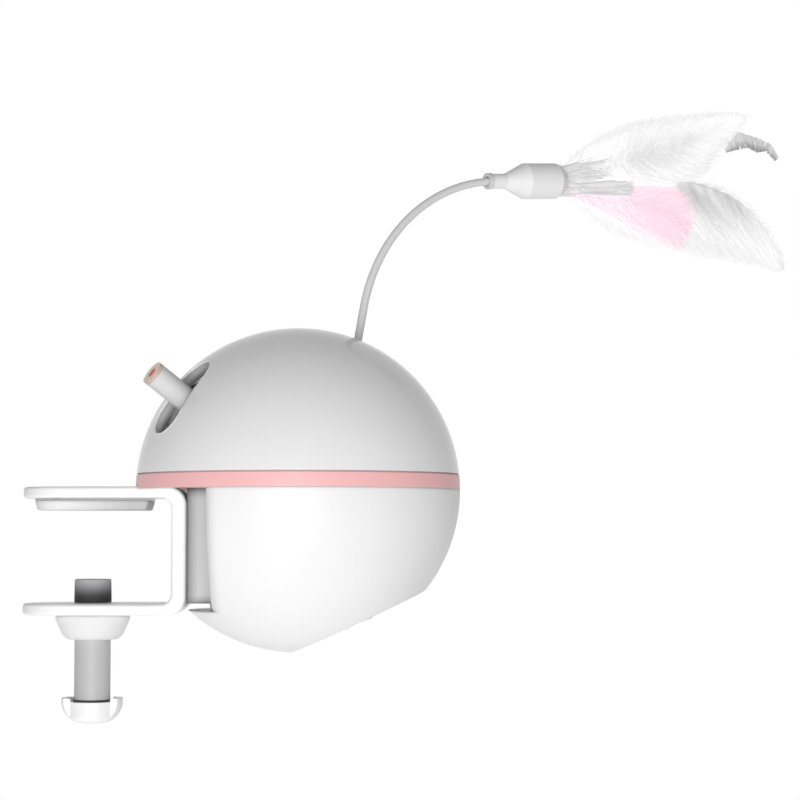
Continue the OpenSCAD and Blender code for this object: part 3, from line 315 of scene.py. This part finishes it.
bracket = bmesh.new()
bracket.from_mesh(nodes["clamp_bracket"].data)
bracket.transform(nodes["clamp_bracket"].matrix_world)
bmesh.ops.remove_doubles(bracket, verts=bracket.verts, dist=WELD * MM)
bmesh.ops.dissolve_limit(bracket, angle_limit=FLAT, verts=bracket.verts, edges=bracket.edges)
rim = [e for e in bracket.edges if all(on_outline(v) for v in e.verts) and e.calc_face_angle(0.0) > SHARP]
bmesh.ops.bevel(bracket, geom=rim, offset=FRAME_ROUND * MM, offset_type="OFFSET", segments=ROUND_STEPS,
                profile=0.5, affect="EDGES", clamp_overlap=False)
frame_mesh = bpy.data.meshes.new("clamp_frame")
bracket.to_mesh(frame_mesh)
bracket.free()
frame_mesh.materials.append(MATS["clamp_white"])
frame_mesh.shade_smooth()
clamp_frame = link(bpy.data.objects.new("clamp_frame", frame_mesh))
clamp_frame.modifiers.new("flats", "WEIGHTED_NORMAL")
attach(clamp_frame, "base")
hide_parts("clamp_bracket")


# New pieces, and trim that is swept round a loop
def mesh_object(name, points, faces, mat, body):
    """A new piece that rides a body."""
    mesh = bpy.data.meshes.new(name)
    mesh.from_pydata([tuple(p * MM) for p in points], [], faces)
    mesh.materials.append(mat)
    mesh.shade_smooth()
    obj = link(bpy.data.objects.new(name, mesh))
    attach(obj, body)
    return obj


def swept_loop(name, path, outline, mat, body):
    """Sweeps an outline of (outwards, upwards) pairs round a closed path of (point, outwards, upwards).

    Both run anticlockwise, the path as seen from above.
    """
    points = [spot + away * a + up * b for spot, away, up in path for a, b in outline]
    n, m = len(path), len(outline)
    faces = [(i * m + k, (i + 1) % n * m + k, (i + 1) % n * m + (k + 1) % m, i * m + (k + 1) % m)
             for i in range(n) for k in range(m)]
    mesh_object(name, points, faces, mat, body)


def ring_path(centre, radius, steps=256):
    """A level ring as a path for swept_loop."""
    spreads = [2 * math.pi * i / steps for i in range(steps)]
    outwards = [Vector((math.cos(spread), math.sin(spread), 0.0)) for spread in spreads]
    return [(centre + away * radius, away, UP) for away in outwards]


def band_outline(inner, outer, low, top):
    """A rectangle as an outline for swept_loop."""
    return [(inner, low), (outer, low), (outer, top), (inner, top)]


# Gap that keeps trim from lying in the face that carries it
PLAY = 0.02

# Seal in the seam between the trim ring and the dome, just inside the ball's surface, a dull dark pink that
# paints the shade in the seam
SEAL_DEPTH = 0.35
SEAL_WIDTH = 1.6
SEAL_PLAY = 0.05
seam_low = span("trim_ring", UP)[1]
seam_top = span("dome_shell", UP)[0] - SEAL_PLAY
seal_r = math.sqrt(BALL_R ** 2 - (seam_low - BALL.z) ** 2) - SEAL_DEPTH
seal_path = ring_path(Vector((BALL.x, BALL.y, 0.0)), seal_r)
seal_outline = band_outline(-SEAL_WIDTH, 0.0, seam_low, seam_top)
seal_shade_mat = moulded("seal_painted_shade", (0.62, 0.46, 0.45), rough=0.6, vary=0.04)
swept_loop("seam_shade_seal", seal_path, seal_outline, seal_shade_mat, "base")

# Dark ring where the clamp's rod enters its knob: painted shade in the gap round the rod
RING_OUT = 0.3
RING_H = 0.6
HUB_MARGIN = 1.0
rod_r = span("clamp_rod", BACK)[1]
hub_top = max(p.z for p in corners("clamp_knob") if math.hypot(p.x, p.y) < rod_r + HUB_MARGIN)
swept_loop("knob_shade_ring", ring_path(UP * hub_top, rod_r), band_outline(PLAY, RING_OUT, 0.0, RING_H),
           MATS["dark_plastic"], "clamp_screw")

# Liner in the light tube's slot, a grey sheet that paints the shade on the slot's wall, and a rounded bead
# along the slot's edge.
# The bead is sunk into the ball, and the liner's top and foot are measured from the bead's middle
SLOT_L = 27.5
SLOT_W = 16.0
SLOT_STEPS = 24
BEAD_R = 0.4
BEAD_SIDES = 8
BEAD_SUNK = 0.3
LINER_T = 0.2
LINER_TOP = -0.3
LINER_LOW = -3.6
slot_long = TILT.cross(AIM)
bead_path = []
liner_path = []
for end in (1, -1):
    for i in range(SLOT_STEPS + 1):
        bow = math.pi * (i / SLOT_STEPS - 0.5)
        flat_away = (slot_long * math.cos(bow) + TILT * math.sin(bow)) * end
        flat = slot_long * end * (SLOT_L - SLOT_W) / 2 + flat_away * SLOT_W / 2
        spot = BALL + flat + AIM * math.sqrt((BALL_R - BEAD_SUNK) ** 2 - flat.length_squared)
        normal = (spot - BALL).normalized()
        bead_away = (flat_away - normal * flat_away.dot(normal)).normalized()
        bead_path.append((spot, bead_away, normal))
        liner_path.append((spot, flat_away, AIM))
liner_shade_mat = moulded("liner_painted_shade", grey(0.46), rough=0.6, vary=0.05)
liner_outline = band_outline(-LINER_T, -PLAY, LINER_LOW, LINER_TOP)
swept_loop("slot_shade_liner", liner_path, liner_outline, liner_shade_mat, "dome")
bead_turns = [2 * math.pi * k / BEAD_SIDES for k in range(BEAD_SIDES)]
bead_outline = [(BEAD_R * math.cos(turn), BEAD_R * math.sin(turn)) for turn in bead_turns]
swept_loop("slot_bead", bead_path, bead_outline, MATS["white_gloss"], "dome")


# Feathers, drawn in a plane with s along the holder and h upwards, at a distance v to its side
def place(s, h, v):
    return QUILLS + ALONG * s + ABOVE * h + SIDE * v


def bezier(curve, t):
    a, b, c, d = (Vector(p) for p in curve)
    return a * (1 - t) ** 3 + b * 3 * (1 - t) ** 2 * t + c * 3 * (1 - t) * t * t + d * t ** 3


def heading(curve, t, step=0.01):
    return (bezier(curve, min(1.0, t + step)) - bezier(curve, max(0.0, t - step))).normalized()


def smooth_outline(points, steps=6):
    """A closed curve through a few points."""
    out = []
    n = len(points)
    for i in range(n):
        p0, p1, p2, p3 = (Vector(points[(i + k - 1) % n]) for k in range(4))
        for j in range(steps):
            u = j / steps
            out.append(0.5 * (p1 * 2 + (p2 - p0) * u + (p0 * 2 - p1 * 5 + p2 * 4 - p3) * u * u
                              + (p1 * 3 - p0 - p2 * 3 + p3) * u ** 3))
    return out


def along(line, t):
    """The point at share t of a line through a few points."""
    k = min(int(t * (len(line) - 1)), len(line) - 2)
    return Vector(line[k]).lerp(Vector(line[k + 1]), t * (len(line) - 1) - k)


def reach(outline, start, aim):
    """Distance from start along aim to the outline's far side, or 0."""
    best = 0.0
    for i, a in enumerate(outline):
        edge = outline[(i + 1) % len(outline)] - a
        gap = a - start
        cross = aim.x * edge.y - aim.y * edge.x
        if abs(cross) < 1e-9:
            continue
        far = (gap.x * edge.y - gap.y * edge.x) / cross
        share = (gap.x * aim.y - gap.y * aim.x) / cross
        if 0.0 <= share <= 1.0:
            best = max(best, far)
    return best


def ease(low, high, value):
    """A smooth rise from 0 at low to 1 at high."""
    u = min(1.0, max(0.0, (value - low) / (high - low)))
    return u * u * (3 - 2 * u)


def mid(pair, share):
    """The value at a share of the way between two."""
    return pair[0] + (pair[1] - pair[0]) * share


def clump(t, u):
    """Uneven bunching of the barbs along a shaft, from 0 to 1, that shifts towards their ends."""
    return 0.5 + 0.5 * math.sin(46 * t + 3 * u) * math.sin(73 * t - 4 * u + 1.0)


class Plume:
    """Collects ribbons and shafts, with a colour mix and a brightness for each point."""

    def __init__(self):
        self.points, self.faces, self.tones = [], [], []

    def ribbon(self, path, widths, tones, flat):
        first = len(self.points)
        for point, width, tone in zip(path, widths, tones):
            self.points += [point - flat * width / 2, point + flat * width / 2]
            self.tones += [tone, tone]
        self.faces += [(a, a + 1, a + 3, a + 2) for a in range(first, first + 2 * len(path) - 2, 2)]

    def shaft(self, path, radii, tone, sides=6):
        first = len(self.points)
        for i, (point, radius) in enumerate(zip(path, radii)):
            ahead = (path[min(i + 1, len(path) - 1)] - path[max(i - 1, 0)]).normalized()
            across = SIDE.cross(ahead).normalized()
            for k in range(sides):
                spread = 2 * math.pi * k / sides
                self.points.append(point + (across * math.cos(spread) + SIDE * math.sin(spread)) * radius)
                self.tones.append(tone)
        for i in range(len(path) - 1):
            for k in range(sides):
                a = first + i * sides + k
                b = first + i * sides + (k + 1) % sides
                self.faces.append((a, b, b + sides, a + sides))
        last = first + (len(path) - 1) * sides
        self.faces.append(tuple(first + k for k in reversed(range(sides))))
        self.faces.append(tuple(last + k for k in range(sides)))

    def build(self, name, slot, node=None):
        obj = mesh_object(name, self.points, self.faces, MATS[slot], "feather_head")
        layer = obj.data.color_attributes.new("tone", "FLOAT_COLOR", "POINT")
        layer.data.foreach_set("color", [c for mix, light in self.tones for c in (mix, light, 0.0, 1.0)])
        obj.visible_shadow = False
        if node:
            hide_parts(node)


# Shares of a shaft, and of a barb or fibre, at which it has points
SHAFT_SHARES = [j / 28 for j in range(29)]
BARB_SHARES = [j / 6 for j in range(7)]

# Share of its thickness that a shaft or barb loses towards its end, and the brightness of a shaft
TAPER = 0.85
SHAFT_LIGHT = 0.98

# Barbs: width, least length, share of the shaft where they start, brightness, waviness and twist
BARB_WIDTH = 0.24
BARB_LEAST = 0.5
BARB_START = 0.05
BARB_LIGHT = (0.95, 1.0)
BARB_WAVE = 0.03
BARB_TWIST = 0.25

# Curled vane: brightness, colour mix from top to bottom (painted shade below), lag of the lower ends, slant,
# spread and twist
VANE_LIGHT = (0.9, 1.0)
VANE_SHADE = (0.1, 0.9)
VANE_LAG = 0.12
VANE_SLANT = 0.3
VANE_SPREAD = 0.3
VANE_TWIST = 0.2

# Loose fibres: distance of their roots beyond the quills' plug, share of the mix that paints their shade,
# taper and twist
DOWN_START = 2.0
DOWN_SHADE = (0.4, 1.0)
DOWN_TAPER = 0.5
DOWN_TWIST = 0.4


def rachis(plume, curve, side, radius, mix):
    """A feather's shaft, which thins towards its end."""
    path = [place(*bezier(curve, t), side) for t in SHAFT_SHARES]
    plume.shaft(path, [radius * (1 - TAPER * t) for t in SHAFT_SHARES], (mix, SHAFT_LIGHT))


def barbs(plume, rng, curve, outline, side, count, splay, mix, flips=(1, -1), fluff=1.0, scatter=0.10,
          curl=0.10, wild=4.0, loose=0.0):
    """Barbs on both sides of a shaft, each a curved ribbon that ends near the outline.

    splay is the barbs' angle at the shaft's start and end, and wild its spread. fluff spreads the barbs'
    ends sideways, scatter shortens them, curl bows them and loose spreads their roots. mix gives the colour.
    """
    for k in range(count):
        t = mid((BARB_START, 1.0), (k + rng.random()) / count)
        ahead = heading(curve, t)
        for flip in flips:
            root = bezier(curve, t) + Vector((-ahead.y, ahead.x)) * rng.gauss(0, loose)
            angle = flip * math.radians(mid(splay, t) + rng.gauss(0, wild))
            aim = Vector((ahead.x * math.cos(angle) - ahead.y * math.sin(angle),
                          ahead.x * math.sin(angle) + ahead.y * math.cos(angle)))
            length = reach(outline, root, aim) * (1.0 - abs(rng.gauss(0, scatter)))
            if length < BARB_LEAST:
                continue
            across = Vector((-aim.y, aim.x)) * flip
            drift = rng.gauss(0, fluff)
            wave = rng.gauss(0, BARB_WAVE)
            light = rng.uniform(*BARB_LIGHT)
            chance = rng.random()
            path, tones = [], []
            for u in BARB_SHARES:
                bow = length * (curl * (u - u * u) + wave * math.sin(3.0 * u))
                spot = root + aim * (length * u) + across * bow
                path.append(place(spot.x, spot.y, side + drift * u * u))
                tones.append((mix(t, spot.x, u, chance), light))
            widths = [BARB_WIDTH * (1.0 - TAPER * u * u) for u in BARB_SHARES]
            flat = (ALONG * across.x + ABOVE * across.y + SIDE * rng.gauss(0, BARB_TWIST)).normalized()
            plume.ribbon(path, widths, tones, flat)


def vane(plume, rng, top, low, side, count, width):
    """A narrow curled vane: barbs that slant from its upper line to its lower one, with painted shade below.
    """
    for k in range(count):
        t = (k + rng.random()) / count
        drift = rng.gauss(0, VANE_SPREAD)
        light = rng.uniform(*VANE_LIGHT)
        head = along(top, t)
        foot = along(low, min(1.0, t + VANE_LAG * rng.random()))
        path = [place(*head.lerp(foot, u), side + drift) for u in BARB_SHARES]
        tones = [(mid(VANE_SHADE, ease(0.4, 1.0, u)), light) for u in BARB_SHARES]
        flat = (ALONG + ABOVE * VANE_SLANT + SIDE * rng.gauss(0, VANE_TWIST)).normalized()
        plume.ribbon(path, [width] * len(path), tones, flat)


def down(plume, rng, count, length, root, tip, spread, mix, light, width=0.35, wide=3.0, lean=0.0):
    """Soft fibres out of the holder's mouth, from root heights to tip heights, that lean sideways."""
    for k in range(count):
        rise = rng.random()
        v = rng.uniform(-wide, wide)
        far = rng.uniform(*length)
        own_light = rng.uniform(*light)
        rise_drift = rng.gauss(0, spread)
        side_drift = rng.gauss(0, spread)
        # Painted shade: each fibre's share of grey
        dark = mix * rng.uniform(*DOWN_SHADE)
        heights = mid(root, rise), mid(tip, rise)
        path = []
        for u in BARB_SHARES:
            h = mid(heights, u) + rise_drift * u * u
            path.append(place(DOWN_START + far * u, h, v + lean * u + side_drift * u * u))
        flat = (ABOVE + SIDE * rng.gauss(0, DOWN_TWIST)).normalized()
        widths = [width * (1 - DOWN_TAPER * u ** 3) for u in BARB_SHARES]
        plume.ribbon(path, widths, [(dark, own_light)] * len(path), flat)


# Colour mix of a barb at share t of the shaft, place s along the holder, share u of the barb and chance r.
# In the white feathers the grey streaks of the clumps are painted shade between the barbs
def upper_mix(t, s, u, r):
    clump_shade = clump(t, u) * ease(24, 36, s) * (1 - ease(54, 68, s)) * (1 - ease(0.3, 0.8, u))
    return 0.09 + 0.12 * r + 0.22 * clump_shade


def lower_mix(t, s, u, r):
    clump_shade = clump(t, u) * ease(50, 56, s) * (1 - ease(70, 94, s)) * (1 - ease(0.1, 0.8, u))
    return 0.10 + 0.14 * r + 0.62 * clump_shade


def pink_mix(t, s, u, r):
    return 0.06 + 0.20 * r + 0.40 * clump(t, u) * ease(20, 50, s)


rng = random.Random(7)

# Large white feather above
UPPER_SIDE = -0.8
UPPER_CURVE = [(0, 0.6), (28, 4), (56, 13), (83, 22.5)]
UPPER_EDGE = smooth_outline([(5, 4), (16, 13), (36, 21), (66, 24), (83.5, 22.7), (74, 12), (62, 0.5),
                             (36, -1.5), (8, -1)])
upper = Plume()
rachis(upper, UPPER_CURVE, UPPER_SIDE, radius=0.2, mix=0.15)
barbs(upper, rng, UPPER_CURVE, UPPER_EDGE, UPPER_SIDE, 1600, (56, 30), upper_mix, fluff=1.5, scatter=0.20,
      curl=0.2, wild=15.0, loose=1.5)
upper.build("plume_upper", "feather_white", "feather_upper")

# Large white feather that droops below
LOWER_SIDE = 0.8
LOWER_CURVE = [(0, -0.6), (38, 1), (86, 8), (97, -31)]
LOWER_EDGE = smooth_outline([(6, -4), (26, -18.5), (55, -25.8), (84, -30), (97, -31.2), (89, -14.5),
                             (71, -1.5), (40, 1), (8, 1)])
lower = Plume()
rachis(lower, LOWER_CURVE, LOWER_SIDE, radius=0.5, mix=0.5)
barbs(lower, rng, LOWER_CURVE, LOWER_EDGE, LOWER_SIDE, 1800, (75, 16), lower_mix, flips=(-1, 1), fluff=1.2,
      wild=8.0)
lower.build("plume_lower", "feather_white", "feather_lower")

# Pink fluffy feather
PINK_SIDE = -2.4
PINK_CURVE = [(0, -0.2), (20, -4), (40, -9.5), (59, -15)]
PINK_EDGE = smooth_outline([(8, -3.5), (13, -8.5), (35, -18), (48, -24), (53.5, -22), (55.5, -5), (45, -2),
                            (20, -2)])
pink = Plume()
rachis(pink, PINK_CURVE, PINK_SIDE, radius=0.2, mix=0.2)
barbs(pink, rng, PINK_CURVE, PINK_EDGE, PINK_SIDE, 900, (50, 30), pink_mix, fluff=1.6, scatter=0.18,
      wild=15.0, loose=1.5)
pink.build("plume_pink", "feather_pink", "feather_pink")

# Grey curled tip on a bare shaft
TIP_SIDE = 2.4
TIP_CURVE = [(0, 0.2), (34, 3), (62, 10), (79, 14.5)]
TIP_TOP = [(76, 11.6), (82, 17.8), (89.5, 16.0), (96.5, 13.6), (100, 8.6)]
TIP_LOW = [(75, 10.0), (80.5, 11.2), (87, 12.2), (90.4, 10.5), (94.5, 11.0), (98.4, 7.6)]
tip = Plume()
rachis(tip, TIP_CURVE, TIP_SIDE, radius=0.45, mix=0.2)
vane(tip, rng, TIP_TOP, TIP_LOW, TIP_SIDE, count=160, width=0.5)
tip.build("plume_tip", "feather_grey", "feather_tip")

# Bundle of fibres in front of the pink feather, and loose down round the quills, both greyed as painted
# shade at the white feathers' base
fluff = Plume()
down(fluff, rng, 420, length=(20, 29), root=(-4.6, -0.8), tip=(-4.8, -1.2), spread=0.5, mix=0.70,
     light=(0.94, 1.0), wide=1.5, lean=-4.0)
down(fluff, rng, 620, length=(6, 22), root=(-4.8, 4.8), tip=(-4.6, 6.0), spread=1.6, mix=0.70,
     light=(0.95, 1.0), width=0.30)
fluff.build("quill_down", "feather_white")

# Floor that fades into the white surroundings
FLOOR_AT = Vector((90.0, 0.0, -300.0))
FLOOR_R = 1000.0
FADE_START = 350.0
FADE_END = 950.0
WHITE = (1.0, 1.0, 1.0, 1.0)
floor_mat, f = material("floor")
floor_out = f.add("ShaderNodeOutputMaterial")
floor_bsdf = f.add("ShaderNodeBsdfPrincipled", {"Base Color": (*grey(0.86), 1.0), "Roughness": 0.9,
                                                "Emission Color": WHITE, "Emission Strength": 0.25})
floor_clear = f.add("ShaderNodeBsdfTransparent")
floor_spot = f.add("ShaderNodeTexCoord")
floor_far = f.add("ShaderNodeVectorMath", operation="LENGTH")
floor_fade = f.add("ShaderNodeMapRange", {"From Min": FADE_START * MM, "From Max": FADE_END * MM},
                   interpolation_type="SMOOTHSTEP")
floor_mix = f.add("ShaderNodeMixShader")
f.join(floor_spot.outputs["Object"], floor_far.inputs[0])
f.join(floor_far.outputs["Value"], floor_fade.inputs["Value"])
f.join(floor_fade.outputs["Result"], floor_mix.inputs["Fac"])
f.join(floor_bsdf.outputs["BSDF"], floor_mix.inputs[1])
f.join(floor_clear.outputs["BSDF"], floor_mix.inputs[2])
f.join(floor_mix.outputs["Shader"], floor_out.inputs["Surface"])
floor_bm = bmesh.new()
bmesh.ops.create_circle(floor_bm, cap_ends=True, segments=96, radius=FLOOR_R * MM)
floor_mesh = bpy.data.meshes.new("floor")
floor_bm.to_mesh(floor_mesh)
floor_bm.free()
floor_mesh.materials.append(floor_mat)
floor = link(bpy.data.objects.new("floor", floor_mesh))
floor.location = FLOOR_AT * MM

# Surroundings: white to the eye and in reflections, a dimmer fill for the light
AMBIENT = 0.25
world = bpy.data.worlds.new("studio")
scene.world = world
world.use_nodes = True
w = Shader(world.node_tree)
world_out = w.add("ShaderNodeOutputWorld")
world_fill = w.add("ShaderNodeBackground", {"Color": WHITE, "Strength": AMBIENT})
world_seen = w.add("ShaderNodeBackground", {"Color": WHITE, "Strength": 1.0})
world_path = w.add("ShaderNodeLightPath")
world_any = w.add("ShaderNodeMath", operation="MAXIMUM")
world_all = w.add("ShaderNodeMath", operation="MAXIMUM")
world_mix = w.add("ShaderNodeMixShader")
w.join(world_path.outputs["Is Camera Ray"], world_any.inputs[0])
w.join(world_path.outputs["Is Transmission Ray"], world_any.inputs[1])
w.join(world_any.outputs["Value"], world_all.inputs[0])
w.join(world_path.outputs["Is Glossy Ray"], world_all.inputs[1])
w.join(world_all.outputs["Value"], world_mix.inputs["Fac"])
w.join(world_fill.outputs["Background"], world_mix.inputs[1])
w.join(world_seen.outputs["Background"], world_mix.inputs[2])
w.join(world_mix.outputs["Shader"], world_out.inputs["Surface"])


def lamp(name, where, aim, size, watts, shine=True):
    """A round soft lamp, which shows in reflections only if it shines."""
    data = bpy.data.lights.new(name, "AREA")
    data.shape = "DISK"
    data.size = size * MM
    data.energy = watts
    obj = link(bpy.data.objects.new(name, data))
    obj.location = Vector(where) * MM
    obj.rotation_euler = (Vector(aim) - Vector(where)).to_track_quat("-Z", "Y").to_euler()
    obj.visible_camera = False
    obj.visible_glossy = shine


lamp("key", (20, -1280, -270), (80, 0, 20), size=900, watts=15.0)
lamp("under", (30, 30, -290), (60, 0, 0), size=600, watts=0.30)
lamp("glow", (20, -420, -280), (60, 0, -20), size=400, watts=0.15)
lamp("back", (50, 1400, 150), (80, 0, 20), size=900, watts=8.0, shine=False)
